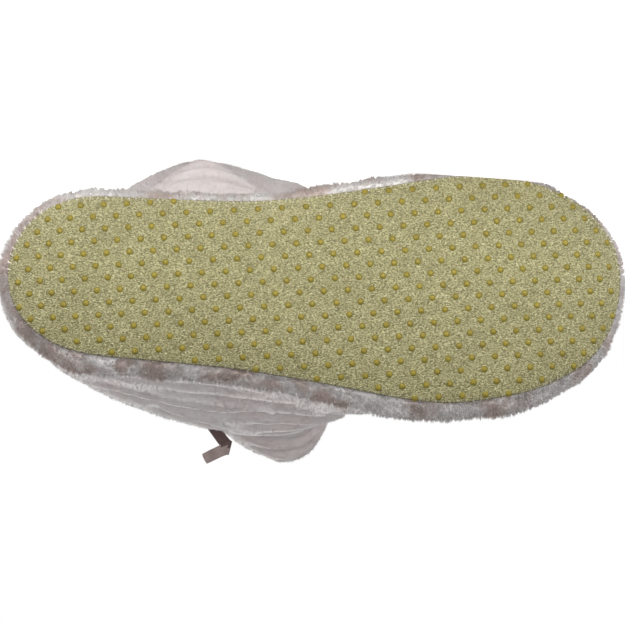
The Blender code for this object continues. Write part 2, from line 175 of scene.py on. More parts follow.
# Creases pressed into the plush upper: how far each reaches to a side, how deep it is (a ridge is
# below zero), and its points, near the cloth.
CREASES = (
    # the long furred fold low on the outer quarter, its trough above it and the smaller ones
    (1.5, -1.8, (
        (28, 33, 75), (43, 38, 64), (61, 43, 61), (83, 47, 60.5), (100, 48.5, 58), (110, 49, 56.2),
    )),
    (1.5, -1.8, ((110, 49, 56.2), (113, 49.3, 58), (116.5, 48.6, 54), (124, 49, 54), (131, 49.7, 57))),
    (3.4, 3.3, (
        (30, 33, 80), (45, 38, 70), (61, 43, 66.5), (83, 47, 66), (100, 48.5, 63.5), (118, 49, 61),
    )),
    (2.6, 1.9, ((61, 42, 52), (75, 43, 51), (92, 45, 49), (108, 46, 49), (124, 46, 48))),
    (1.6, -1.2, ((61, 43, 68), (68, 45, 70), (77, 47, 71.5), (88, 50, 73), (97, 53, 78))),
    (2.8, 2.3, ((60, 43, 73), (68, 45, 75), (78, 48, 76.5), (87, 51, 79), (95, 53, 84))),
    (2.6, 2.3, ((26, 33, 58), (40, 36, 50), (54, 38, 44), (72, 40, 41), (92, 43, 38.5), (110, 44, 38))),
    # the rings that the slumped shaft makes round its outer front, below the ribbon and on the cuff
    (2.0, 3.0, (
        (98, 49, 65), (113, 50, 63), (125, 51, 64), (133, 50, 66), (141, 44, 68), (148, 34, 69),
        (151, 18, 70),
    )),
    (1.3, -1.1, (
        (104, 50, 69), (118, 52, 67.5), (127, 52, 69), (134, 51, 71), (141, 45, 72), (146, 34, 73),
    )),
    (1.9, 3.0, (
        (102, 51, 74), (116, 52, 72), (127, 53, 74), (134, 51, 76), (141, 45, 77), (146, 34, 78),
        (149, 18, 79),
    )),
    (1.9, 2.8, ((106, 53, 83), (119, 54, 81), (128, 53, 82), (134, 51, 84), (140, 44, 85), (144, 32, 86))),
    (1.7, 2.3, ((110, 53, 92), (121, 53, 90), (129, 51, 91), (135, 47, 92), (139, 40, 93))),
    (1.8, 2.6, (
        (100, 51, 114.5), (112, 54, 113.5), (124, 55, 113), (132, 52, 114), (138, 46, 115),
        (143, 36, 116), (145, 20, 116),
    )),
    (1.7, 2.6, (
        (104, 56, 120), (117, 58, 119), (127, 58, 119), (134, 55, 119.5), (140, 48, 120),
        (145, 36, 120), (147, 20, 121),
    )),
    (1.6, 2.1, (
        (110, 58, 125.5), (120, 60, 125), (129, 59, 125), (136, 55, 125), (142, 48, 126), (146, 38, 126),
    )),
    (2.0, 1.9, ((72, 50, 117), (62, 48, 118), (50, 42, 118), (40, 34, 117))),
    # the instep, where the shaft bends from the top of the foot
    (3.8, 3.9, ((136, 34, 62), (150, 18, 60), (155, 0, 60), (153, -20, 60), (142, -38, 62))),
    (3.1, -1.8, ((138, 34, 70), (148, 18, 70), (152, 0, 70), (149, -20, 70), (140, -36, 70))),
    (3.1, 2.8, ((134, 36, 80), (145, 16, 80), (148, -2, 79), (144, -22, 79), (134, -38, 80))),
    (2.9, 2.2, ((133, 30, 92), (141, 12, 91), (143, -4, 91), (139, -22, 91), (131, -34, 92))),
    (4.1, 2.4, ((164, 40, 46), (170, 20, 52), (172, 0, 53), (169, -20, 51), (160, -38, 46))),
    (4.5, 1.7, ((188, 40, 36), (192, 18, 45), (193, 0, 46), (190, -18, 44), (182, -34, 36))),
    # the heel and the inner side
    (3.6, 3.0, ((14, 24, 62), (5, 10, 60), (3, -6, 60), (8, -24, 62), (22, -40, 64))),
    (2.9, 2.4, ((22, 30, 84), (12, 12, 82), (10, -8, 82), (16, -28, 84), (30, -44, 86))),
    (2.7, 2.0, ((24, 28, 95), (16, 12, 94), (14, -8, 94), (22, -28, 95))),
    (1.8, 2.1, ((66, -46, 24), (76, -48, 22), (84, -48, 21.3), (92, -48, 22), (104, -46, 24))),
    (2.3, 1.5, ((70, -52, 27), (80, -54, 25.5), (90, -54, 27.5), (98, -53, 30))),
    (2.9, 2.5, ((118, -46, 44), (128, -44, 54), (132, -42, 66), (131, -42, 80), (128, -40, 94))),
    (2.7, 2.2, ((40, -44, 40), (46, -50, 54), (46, -54, 70), (44, -52, 86), (42, -46, 98))),
)


def shoe_turn():
    """The shoe's axes, as columns, in the world."""
    turn = (
        Matrix.Rotation(-HEEL_RAISE, 3, "Y")
        @ Matrix.Rotation(LEAN - pi / 2, 3, "X")
        @ Matrix.Rotation(pi, 3, "Z")
    )
    return np.array(turn)


def mesh_points(mesh):
    """A mesh's vertices as an array, in metres."""
    points = np.empty(len(mesh.vertices) * 3, np.float32)
    mesh.vertices.foreach_get("co", points)
    return points.reshape(-1, 3).astype(float)


def shoe_origin():
    """Where the heel end of the sole's ground line is in the world, from the outsole's own corner."""
    low = (mesh_points(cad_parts["outsole"].data) @ TURN).min(0)
    low[1] += SOLE_INNER_REACH * MM
    return TURN @ low


TURN = shoe_turn()
ORIGIN = shoe_origin()


def to_world(points):
    """Shoe millimetres to world metres."""
    return np.asarray(points, float) * MM @ TURN.T + ORIGIN


def to_shoe(points):
    """World metres to shoe millimetres."""
    return (np.asarray(points, float) - ORIGIN) @ TURN / MM


def mesh_normals(mesh):
    """A mesh's vertex normals as an array."""
    normals = np.empty(len(mesh.vertices) * 3, np.float32)
    mesh.vertices.foreach_get("normal", normals)
    return normals.reshape(-1, 3).astype(float)


def surface(mesh):
    """A mesh's vertices in the shoe's millimetres, and their normals along the shoe's axes."""
    return to_shoe(mesh_points(mesh)), mesh_normals(mesh) @ TURN


def write_points(mesh, points):
    """Moves a mesh's vertices to these places in metres."""
    mesh.vertices.foreach_set("co", np.asarray(points, np.float32).ravel())
    mesh.update()


def unit(vectors):
    """Vectors at length one."""
    return vectors / np.maximum(np.linalg.norm(vectors, axis=1, keepdims=True), 1e-9)


def smooth_step(values, start, end):
    """0 before start, 1 after end and smooth between them."""
    share = np.clip((values - start) / (end - start), 0, 1)
    return share * share * (3 - 2 * share)


def keep_off_floor(world, lowest):
    """Lifts what would sink into the floor."""
    world[:, 2] = np.maximum(world[:, 2], lowest)
    return world


def alone(piece):
    """Selects one object and makes it active."""
    bpy.ops.object.select_all(action="DESELECT")
    piece.select_set(True)
    bpy.context.view_layer.objects.active = piece


def new_piece(name, mesh):
    """A new object for a mesh."""
    piece = bpy.data.objects.new(name, mesh)
    bpy.context.collection.objects.link(piece)
    return piece


def add_values(mesh, name, values):
    """Keeps a value for each vertex, for the materials to read."""
    attribute = mesh.attributes.new(name, "FLOAT", "POINT")
    attribute.data.foreach_set("value", np.asarray(values, np.float32))


def joined_piece(name, points, faces, finish):
    """One smooth piece from shoe points and faces, kept off the floor."""
    mesh = bpy.data.meshes.new(name)
    mesh.from_pydata(keep_off_floor(to_world(points), TRIM_LOWEST).tolist(), [], faces)
    mesh.update()
    piece = new_piece(name, mesh)
    alone(piece)
    bpy.ops.object.shade_smooth()
    mesh.materials.append(materials()[finish])
    return finish_piece(piece, "root")


def cloth_copy(name, node, levels, crease=0.0):
    """A finely meshed, rounded copy of a CAD node, as an object of its own."""
    piece = new_piece(name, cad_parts[node].data.copy())
    piece.data.materials.clear()
    alone(piece)
    bpy.ops.object.mode_set(mode="EDIT")
    bpy.ops.mesh.select_all(action="SELECT")
    bpy.ops.mesh.remove_doubles(threshold=1e-5)
    bpy.ops.mesh.tris_convert_to_quads(face_threshold=radians(40), shape_threshold=radians(50))
    bpy.ops.object.mode_set(mode="OBJECT")
    if crease:
        hold_sharp_edges(piece.data, crease)
    rounding = piece.modifiers.new("rounding", "SUBSURF")
    rounding.levels = levels
    rounding.render_levels = levels
    bpy.ops.object.modifier_apply(modifier=rounding.name)
    bpy.ops.object.shade_smooth()
    return piece


def hold_sharp_edges(mesh, crease):
    """Creases the edges whose faces turn by more than 50 degrees, so that rounding keeps them."""
    faces = {}
    for face in mesh.polygons:
        for key in face.edge_keys:
            faces.setdefault(key, []).append(face.normal)
    held = mesh.attributes.new("crease_edge", "FLOAT", "EDGE")
    for edge in mesh.edges:
        sides = faces[edge.key]
        if len(sides) == 2 and sides[0].dot(sides[1]) < cos(radians(50)):
            held.data[edge.index].value = crease


def finish_piece(piece, body, *nodes):
    """Puts a piece on its body, and lets it stand for the CAD nodes that it covers."""
    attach(piece, body)
    if nodes:
        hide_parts(*nodes)
    return piece


def clouds(points, size, octaves=1):
    """Smooth noise from -1 to 1 at shoe points, with lumps of about this size in millimetres."""
    value = np.zeros(len(points))
    for octave in range(octaves):
        step = 2.0**octave / size
        value += np.array([noise.noise(Vector(p)) for p in points * step]) / 2.0**octave
    return value


def drift(points, size):
    """A smooth field of directions at shoe points."""
    return np.array([noise.noise_vector(Vector(p)) for p in points / size])


def outward(points, normals):
    """True for points of the outer wall: their normals turn from the middle line of their own level."""
    level = np.clip((points[:, 2] // 4).astype(int), 0, None)
    middle = np.zeros_like(points)
    middle[:, 2] = points[:, 2]
    for value in np.unique(level):
        here = level == value
        low, high = points[here].min(0), points[here].max(0)
        half = 0.5 * (high[1] - low[1])
        first, last = low[0] + half, high[0] - half
        if first > last:
            first = last = 0.5 * (low[0] + high[0])
        middle[here, 0] = np.clip(points[here, 0], first, last)
        middle[here, 1] = 0.5 * (low[1] + high[1])
    return ((points - middle) * normals).sum(1) > 0


def curve_through(points, step=1.2):
    """Points every step or so on a smooth curve through a few."""
    known = np.array([points[0], *points, points[-1]], float)
    made = []
    for a, b, c, d in zip(known, known[1:], known[2:], known[3:]):
        for t in np.arange(0, 1, step / max(np.linalg.norm(c - b), step)):
            made.append(
                0.5 * (2 * b + (c - a) * t + (2 * a - 5 * b + 4 * c - d) * t**2
                       + (3 * b - a - 3 * c + d) * t**3)
            )
    return np.array([*made, known[-1]])


def press_creases(points, normals, faces):
    """Presses the table's creases into the upper; both walls move together."""
    outer = outward(points, normals)
    skin = [f for f in faces if all(outer[i] for i in f)]
    search = BVHTree.FromPolygons([Vector(p) for p in points], skin)
    moved = points.copy()
    for reach, depth, path in CREASES:
        snapped = [search.find_nearest(Vector(p)) for p in curve_through(path)]
        line = np.array([hit[0] for hit in snapped])
        away = np.array([hit[1] for hit in snapped])
        share = np.linspace(-1, 1, len(line))
        fade = np.clip((1 - np.abs(share)) / CREASE_FADE, 0, 1)
        span = 3 * reach + 4
        near = np.all((points > line.min(0) - span) & (points < line.max(0) + span), axis=1)
        index = np.nonzero(near)[0]
        distance = np.linalg.norm(points[index, None] - line[None], axis=2)
        closest = distance.argmin(1)
        far = distance[np.arange(len(index)), closest]
        far = np.where(outer[index], far, np.maximum(far - WALL, 0))
        push = depth * np.exp(-((far / reach) ** 2)) * fade[closest]
        moved[index] -= away[closest] * push[:, None]
    return moved


def gather_at_tie(points):
    """Small upright pleats above and below the ribbon, deepest beside it."""
    across = points[:, :2] - SHAFT_CENTRE
    around = np.arctan2(across[:, 1], across[:, 0])
    beside = np.maximum(np.abs(points[:, 2] - TIE_HEIGHT) - TIE_HALF_WIDTH, 0)
    uneven = 1.3 * np.sin(3 * around + 0.4) + 0.8 * np.sin(5 * around + 2.0)
    wave = 0.5 + 0.5 * np.cos(PLEATS * around + uneven)
    strength = 0.65 + 0.35 * np.sin(4 * around + 1.0)
    depth = PLEAT_DEPTH * wave**1.5 * strength * np.exp(-((beside / PLEAT_REACH) ** 2))
    out = np.column_stack([across / np.linalg.norm(across, axis=1)[:, None], np.zeros(len(points))])
    return points - out * depth[:, None]


def from_middle(points):
    """Each point's place from the foot's middle line, in plan."""
    away = points.copy()
    away[:, 0] -= np.clip(points[:, 0], *SOLE_MIDDLE_RUN)
    away[:, 1] -= SOLE_MIDDLE_Y
    away[:, 2] = 0
    return away


def turned_edge(points):
    """How far the sole cloth is drawn out over its edge, most at the toe's inner side."""
    away = from_middle(points)
    far, way = np.linalg.norm(away, axis=1), unit(away)
    along = points[:, 0]
    toe = smooth_step(along, 150, 225)
    outer_toe = smooth_step(along, 205, 240) * smooth_step(way[:, 1], -0.1, 0.5)
    outer_heel = smooth_step(along, 28, 50) * (1 - smooth_step(along, 75, 95)) * (way[:, 1] > 0)
    inner = INNER_TOE_DRAW * np.clip(-way[:, 1], 0, 1)
    drawn = EDGE_DRAW * (1 - 1.6 * outer_toe) + toe * (inner + TOE_DRAW * np.clip(way[:, 0], 0, 1))
    drawn = drawn + OUTER_HEEL_DRAW * outer_heel
    return way * (drawn * np.clip(far / SOLE_HALF_WIDTH, 0, 1) ** 3)[:, None]


def sole_search():
    """A search over the sole cloth in the shoe's millimetres."""
    mesh = bpy.data.objects["sole_cloth"].data
    points = to_shoe(mesh_points(mesh))
    return BVHTree.FromPolygons([Vector(p) for p in points], [tuple(f.vertices) for f in mesh.polygons])


def sole_edge(pitch):
    """Places every pitch round the sole cloth's edge, with the way out from the shoe's middle."""
    search = sole_search()
    middle = Vector(EDGE_MIDDLE)
    rim, outs = [], []
    for angle in np.linspace(0, 2 * pi, EDGE_STEPS, endpoint=False):
        way = Vector((cos(angle), sin(angle), 0))
        furthest = None
        for height in np.arange(1.2, 8.5, 0.6):
            start = middle + way * 400 + Vector((0, 0, height))
            hit, normal, _, far = search.ray_cast(start, -way)
            if hit is not None and (furthest is None or far < furthest[2] - 0.15):
                furthest = (hit, normal, far)
        rim.append(np.array(furthest[0]))
        flat = np.array([furthest[1].x, furthest[1].y, 0.0])
        outs.append(flat / np.linalg.norm(flat))
    rim, outs = np.array(rim), np.array(outs)
    steps = np.linalg.norm(np.roll(rim, -1, axis=0) - rim, axis=1)
    run = np.concatenate([[0], np.cumsum(steps)])
    count = int(run[-1] / pitch)
    index = np.searchsorted(run, np.arange(count) * run[-1] / count).clip(0, len(rim) - 1)
    return rim[index], outs[index]


def add_thread(points, faces, path, radius):
    """A short four-sided thread through a few points."""
    path = np.array(path, float)
    ways = unit(np.gradient(path, axis=0))
    first = len(points)
    for place, way in zip(path, ways):
        side = np.cross(way, [0, 0, 1.0]) if abs(way[2]) < 0.9 else np.cross(way, [1.0, 0, 0])
        side /= np.linalg.norm(side)
        other = np.cross(way, side)
        points += [place + radius * (cos(a) * side + sin(a) * other) for a in (0, pi / 2, pi, 3 * pi / 2)]
    for ring in range(len(path) - 1):
        low = first + 4 * ring
        faces += [(low + k, low + (k + 1) % 4, low + 4 + (k + 1) % 4, low + 4 + k) for k in range(4)]
    last = first + 4 * (len(path) - 1)
    faces += [(first + 3, first + 2, first + 1, first), (last, last + 1, last + 2, last + 3)]


def one_dot(size):
    """One dot: a flattened dome whose foot spreads into a thin rim, as points, faces and heights."""
    bpy.ops.object.select_all(action="DESELECT")
    bpy.ops.mesh.primitive_cylinder_add(
        vertices=DOT_SIDES, radius=0.5 * size, depth=DOT_FOOT, end_fill_type="NGON"
    )
    dot = bpy.context.active_object
    bpy.ops.object.mode_set(mode="EDIT")
    bpy.ops.mesh.select_mode(type="FACE")
    bpy.ops.mesh.select_all(action="DESELECT")
    bpy.ops.object.mode_set(mode="OBJECT")
    for face in dot.data.polygons:
        face.select = face.normal.z > 0.5
    bpy.ops.object.mode_set(mode="EDIT")
    for shrink, lift in DOT_DOME:
        bpy.ops.mesh.extrude_region_move(TRANSFORM_OT_translate={"value": (0, 0, lift)})
        bpy.ops.transform.resize(value=(shrink, shrink, 1), center_override=(0, 0, 0))
    bpy.ops.mesh.select_all(action="SELECT")
    bpy.ops.object.mode_set(mode="OBJECT")
    points = [v.co.copy() for v in dot.data.vertices]
    low = min(p.z for p in points)
    top = max(p.z for p in points)
    for p in points:
        if p.z < low + 0.01:
            p.x *= DOT_SPREAD
            p.y *= DOT_SPREAD
    heights = [(p.z - low) / (top - low) for p in points]
    faces = [tuple(face.vertices) for face in dot.data.polygons]
    bpy.data.objects.remove(dot)
    return [Vector((p.x, p.y, p.z - low - DOT_SUNK)) for p in points], faces, heights


def show_shaded_back(mesh):
    """Gives the folded tail's first length the matt back, since the ribbon is turned over there, in a
    darker colour that is painted shade.
    """
    mesh.materials.append(materials()["ribbon back shade"])
    centres = to_shoe([tuple(face.center) for face in mesh.polygons]) - TAIL_CREASE
    turned = centres @ TAIL_TO_KNOT > centres @ TAIL_TO_END
    mesh.polygons.foreach_set("material_index", turned.astype(np.int32))


def principled(name, roughness, sheen=0.0, sheen_roughness=0.5, specular=0.35):
    """A material with its shader, and its node tree ready for more."""
    material = bpy.data.materials.new(name)
    material.use_nodes = True
    shader = material.node_tree.nodes["Principled BSDF"]
    shader.inputs["Roughness"].default_value = roughness
    shader.inputs["Sheen Weight"].default_value = sheen
    shader.inputs["Sheen Roughness"].default_value = sheen_roughness
    shader.inputs["Specular IOR Level"].default_value = specular
    return material


def add_node(tree, kind, **values):
    """Adds a node; values name its properties, or its inputs where they start with a capital."""
    made = tree.nodes.new(kind)
    for key, value in values.items():
        if key[0].isupper():
            made.inputs[key.replace("_", " ")].default_value = value
        else:
            setattr(made, key, value)
    return made


def ramp(tree, source, stops):
    """A colour ramp from (place, colour) stops."""
    made = tree.nodes.new("ShaderNodeValToRGB")
    made.color_ramp.elements.remove(made.color_ramp.elements[0])
    made.color_ramp.elements[0].position = stops[0][0]
    made.color_ramp.elements[0].color = (*stops[0][1], 1)
    for place, colour in stops[1:]:
        made.color_ramp.elements.new(place).color = (*colour, 1)
    tree.links.new(source, made.inputs[0])
    return made.outputs[0]


def grey(value):
    """A grey as a colour."""
    return (value, value, value)


def scaled(colour, share):
    """A colour made darker or paler."""
    return tuple(share * part for part in colour)


def multiplied(tree, first, second):
    """The product of two colours."""
    mix = add_node(tree, "ShaderNodeMix", data_type="RGBA", blend_type="MULTIPLY")
    mix.inputs["Factor"].default_value = 1.0
    tree.links.new(first, mix.inputs[6])
    tree.links.new(second, mix.inputs[7])
    return mix.outputs[2]


def object_place(tree):
    """The place on a piece, in its own coordinates."""
    return add_node(tree, "ShaderNodeTexCoord").outputs["Object"]


def noise_at(tree, place, **values):
    """A noise texture that reads a place."""
    texture = add_node(tree, "ShaderNodeTexNoise", **values)
    tree.links.new(place, texture.inputs["Vector"])
    return texture


def stretched(tree, place, scale):
    """A place with its three axes scaled."""
    mapping = add_node(tree, "ShaderNodeMapping", Scale=scale)
    tree.links.new(place, mapping.inputs["Vector"])
    return mapping.outputs[0]


def shaded_by(tree, colour, attribute, at_zero, full_at, at_full):
    """A colour shaded by one of the mesh's values, from its shade at zero to that at a full value."""
    value = add_node(tree, "ShaderNodeAttribute", attribute_name=attribute).outputs["Fac"]
    return multiplied(tree, colour, ramp(tree, value, ((0.0, grey(at_zero)), (full_at, grey(at_full)))))


def seen_or_not(tree, seen, unseen):
    """One strength where the camera looks straight at the light, and another where it lights the shoe."""
    ray = add_node(tree, "ShaderNodeLightPath").outputs["Is Camera Ray"]
    strength = add_node(tree, "ShaderNodeMapRange", To_Min=unseen, To_Max=seen)
    tree.links.new(ray, strength.inputs["Value"])
    return strength.outputs["Result"]


def coloured(material, colour):
    """Gives a material its colour."""
    tree = material.node_tree
    tree.links.new(colour, tree.nodes["Principled BSDF"].inputs["Base Color"])
    return material


def napped(material, height, strength, distance):
    """Raises a material's surface by a height, in metres at its full value."""
    tree = material.node_tree
    nap = add_node(tree, "ShaderNodeBump", Strength=strength, Distance=distance)
    tree.links.new(height, nap.inputs["Height"])
    tree.links.new(nap.outputs[0], tree.nodes["Principled BSDF"].inputs["Normal"])
    return material


def new_group(name, inputs, outputs):
    """An empty node group with float or colour sockets."""
    group = bpy.data.node_groups.new(name, "ShaderNodeTree")
    for label, kind, value in inputs:
        socket = group.interface.new_socket(label, in_out="INPUT", socket_type=kind)
        socket.default_value = value
    for label, kind in outputs:
        group.interface.new_socket(label, in_out="OUTPUT", socket_type=kind)
    return group, group.nodes.new("NodeGroupInput"), group.nodes.new("NodeGroupOutput")


def patchy_pile_group():
    """Plush that has been brushed both ways: pale and dusky patches, and a fine fibrous grain."""
    group, given, out = new_group(
        "brushed plush",
        (
            ("Pale", "NodeSocketColor", (0.6, 0.58, 0.58, 1)),
            ("Dusky", "NodeSocketColor", (0.4, 0.33, 0.31, 1)),
            ("Patch Scale", "NodeSocketFloat", 60.0),
            ("Dusky Share", "NodeSocketFloat", 0.5),
            ("Grain Scale", "NodeSocketFloat", 900.0),
            ("Streaks", "NodeSocketFloat", 0.5),
        ),
        (("Color", "NodeSocketColor"), ("Grain", "NodeSocketFloat")),
    )
    link = group.links.new
    place = object_place(group)
    patches = noise_at(group, place, Detail=3.0, Roughness=0.6, Distortion=0.6)
    grain = noise_at(group, place, Detail=3.0, Roughness=0.65)
    link(given.outputs["Patch Scale"], patches.inputs["Scale"])
    link(given.outputs["Grain Scale"], grain.inputs["Scale"])
    spread = add_node(
        group, "ShaderNodeMapRange", interpolation_type="SMOOTHSTEP", From_Min=0.40, From_Max=0.62
    )
    link(patches.outputs["Fac"], spread.inputs["Value"])
    amount = add_node(group, "ShaderNodeMath", operation="MULTIPLY")
    link(spread.outputs["Result"], amount.inputs[0])
    link(given.outputs["Dusky Share"], amount.inputs[1])
    blend = add_node(group, "ShaderNodeMix", data_type="RGBA")
    link(amount.outputs[0], blend.inputs["Factor"])
    link(given.outputs["Pale"], blend.inputs[6])
    link(given.outputs["Dusky"], blend.inputs[7])
    along = stretched(group, place, (0.12, 1.0, 1.0))
    streaks = noise_at(group, along, Scale=330.0, Detail=3.0, Roughness=0.6)
    both = add_node(group, "ShaderNodeMix", data_type="FLOAT")
    link(given.outputs["Streaks"], both.inputs["Factor"])
    link(grain.outputs["Fac"], both.inputs[2])
    link(streaks.outputs["Fac"], both.inputs[3])
    stops = ((0.34, grey(0.86)), (0.5, grey(0.98)), (0.66, grey(1.05)))
    mottled = multiplied(group, blend.outputs[2], ramp(group, both.outputs[0], stops))
    link(mottled, out.inputs["Color"])
    link(both.outputs[0], out.inputs["Grain"])


def brushed_plush(tree, pale, dusky, patch_scale, dusky_share, streaks, grain_scale):
    """Places the brushed plush group in a material, with the material's own values."""
    pile = add_node(tree, "ShaderNodeGroup", node_tree=bpy.data.node_groups["brushed plush"])
    values = {
        "Pale": (*pale, 1), "Dusky": (*dusky, 1), "Patch Scale": patch_scale,
        "Dusky Share": dusky_share, "Grain Scale": grain_scale, "Streaks": streaks,
    }
    for label, value in values.items():
        pile.inputs[label].default_value = value
    return pile.outputs


def plush_material(name, colours, patches, grain_scale, bump):
    """Plush cloth for a wall; the pile standing on it has the same colours."""
    material = principled(name, 0.95, sheen=0.25, sheen_roughness=0.45, specular=0.15)
    pile = brushed_plush(material.node_tree, *colours, *patches, grain_scale)
    return napped(coloured(material, pile["Color"]), pile["Grain"], bump, 0.0008)


def fibre_material(name, colours, patches, painted_root_shade, grit):
    """The pile's fibres: the wall's colours, with painted shade at the root, and each fibre of its own
    tone.
    """
    material = principled(name, 0.85, sheen=0.3, sheen_roughness=0.4, specular=0.2)
    tree = material.node_tree
    colour = brushed_plush(tree, *colours, *patches, 420.0)["Color"]
    # painted shade: each fibre is darker towards its root, where the pile shades itself
    colour = shaded_by(tree, colour, "fibre_height", painted_root_shade, 0.7, 1.0)
    return coloured(material, shaded_by(tree, colour, "fibre_tone", 1.0 - grit, 1.0, 1.0))


def sole_material(colours):
    """Napped sole cloth, crinkled at about a millimetre, with painted shade in the crinkles' hollows,
    painted light on their crests, and painted shade where it turns up to the seam.
    """
    material = principled("crinkled sole cloth", 0.9, sheen=0.15, specular=0.2)
    tree = material.node_tree
    place = object_place(tree)
    turned = stretched(tree, place, (0.7, 1.0, 1.15))
    grain = noise_at(tree, turned, Scale=1800.0, Detail=2.0, Roughness=0.5, Distortion=0.3)
    crinkle = grain.outputs["Fac"]
    mottle = noise_at(tree, place, Scale=45.0, Detail=3.0, Roughness=0.6).outputs["Fac"]
    # painted shade: darker in the crinkles' hollows; painted light: paler on their crests
    stops = ((0.36, colours.sole_hollow_shade), (0.52, colours.sole), (0.66, colours.sole_crest_light))
    clouded = ramp(tree, mottle, ((0.35, grey(0.92)), (0.65, grey(1.0))))
    cloth = multiplied(tree, ramp(tree, crinkle, stops), clouded)
    # painted shadow along the seam, where the cloth turns up under the band's overhang
    coloured(material, shaded_by(tree, cloth, "seam_shade", 1.0, 1.0, 0.4))
    return napped(material, crinkle, 1.0, 0.0026)


def dot_material(colours):
    """Ochre rubber, paler where the dot thins out to its rim, with painted shade round the dome's foot and
    a painted highlight on its crown.
    """
    material = principled("ochre rubber", 0.38)
    tree = material.node_tree
    height = add_node(tree, "ShaderNodeAttribute", attribute_name="dot_height").outputs["Fac"]
    dot = tuple(colours.dot)
    # painted shade: a darker ring round the dome's foot; painted highlight: a paler crown
    stops = ((0.04, colours.dot_rim), (0.26, scaled(dot, 0.7)), (0.5, dot), (0.95, scaled(dot, 1.1)))
    wear = noise_at(tree, object_place(tree), Scale=300.0, Detail=2.0).outputs["Fac"]
    worn = ramp(tree, wear, ((0.35, grey(0.82)), (0.6, grey(1.0))))
    return coloured(material, multiplied(tree, ramp(tree, height, stops), worn))


def clouded(material, colour, deep, scale, low, high):
    """Gives a material a colour that clouds over to a deeper one."""
    tree = material.node_tree
    cloud = noise_at(tree, object_place(tree), Scale=scale, Detail=2.0).outputs["Fac"]
    return coloured(material, ramp(tree, cloud, ((low, scaled(colour, deep)), (high, tuple(colour)))))


def ribbon_material(name, ribbon, roughness):
    """Dusky satin with a fine weave."""
    material = clouded(principled(name, roughness, sheen=0.2), ribbon, 0.7, 140.0, 0.35, 0.6)
    tree = material.node_tree
    weave = noise_at(tree, object_place(tree), Scale=1500.0, Detail=2.0).outputs["Fac"]
    return napped(material, weave, 0.35, 0.0003)


def floor_material(colours):
    """A pale matt floor that gives back a little light of its own, like a lit paper sweep."""
    paper = principled("paper floor", 0.9, specular=0.1)
    material = clouded(paper, colours.floor, 0.99, 3.0, 0.3, 0.7)
    tree = material.node_tree
    shader = tree.nodes["Principled BSDF"]
    shader.inputs["Emission Color"].default_value = (1, 1, 1, 1)
    tree.links.new(seen_or_not(tree, FLOOR_SEEN, FLOOR_LIGHT), shader.inputs["Emission Strength"])
    return material


finishes = {}


def materials():
    """The slipper's finishes by name, made once."""
    if finishes:
        return finishes
    patchy_pile_group()
    colours = bpy.context.scene.slipper_colours
    shaft, band = (colours.shaft, colours.shaft_dusky), (colours.band, colours.band_dusky)
    # The band's wall is a little darker than its fibres, as painted shade in the gaps between tufts.
    band_wall_painted_shade = tuple(scaled(colour, 0.95) for colour in band)
    fleece = (colours.lining, colours.lining)
    finishes.update({
        "shaft wall": plush_material("shaft plush", shaft, SHAFT_PATCHES, 700, 0.35),
        "band wall": plush_material("band plush", band_wall_painted_shade, BAND_PATCHES, 600, 0.5),
        "lining wall": plush_material("lining fleece", fleece, FLEECE_PATCHES, 600, 0.5),
        # after the patches: each pile's painted root shade, then how far each fibre's own tone varies
        "shaft fibre": fibre_material("shaft fibre", shaft, SHAFT_PATCHES, 0.8, 0.08),
        "band fibre": fibre_material("band fibre", band, BAND_PATCHES, 0.95, 0.3),
        "lining fibre": fibre_material("lining fibre", fleece, FLEECE_PATCHES, 0.85, 0.12),
        "sole": sole_material(colours),
        "dots": dot_material(colours),
        "ribbon": ribbon_material("satin ribbon", colours.ribbon, 0.42),
        # the turned length's matt back, its colour darkened as painted shade
        "ribbon back shade": ribbon_material("satin ribbon back shade", colours.ribbon_back_shade, 0.7),
        "thread": clouded(
            principled("pale thread", 0.7, sheen=0.1), colours.thread, 0.6, 900.0, 0.3, 0.6
        ),
    })
    return finishes


def scatter(mesh, count, seed, wanted):
    """Random shoe points on a mesh with their normals, evenly by area where wanted, and the chance."""
    mesh.calc_loop_triangles()
    corners = np.empty(len(mesh.loop_triangles) * 3, np.int32)
    mesh.loop_triangles.foreach_get("vertices", corners)
    corners = corners.reshape(-1, 3)
    points, normals = surface(mesh)
    a, b, c = (points[corners[:, i]] for i in range(3))
    area = 0.5 * np.linalg.norm(np.cross(b - a, c - a), axis=1)
    share = area * wanted((a + b + c) / 3, unit(normals[corners].sum(1)))
    chance = np.random.default_rng(seed)
    picked = chance.choice(len(corners), count, p=share / share.sum())
    u, v = chance.random(count), chance.random(count)
    u, v = np.where(u + v > 1, 1 - u, u), np.where(u + v > 1, 1 - v, v)
    weights = np.stack([1 - u - v, u, v], axis=1)[:, :, None]
    places = (points[corners[picked]] * weights).sum(1)
    upright = unit((normals[corners[picked]] * weights).sum(1))
    return places, upright, chance


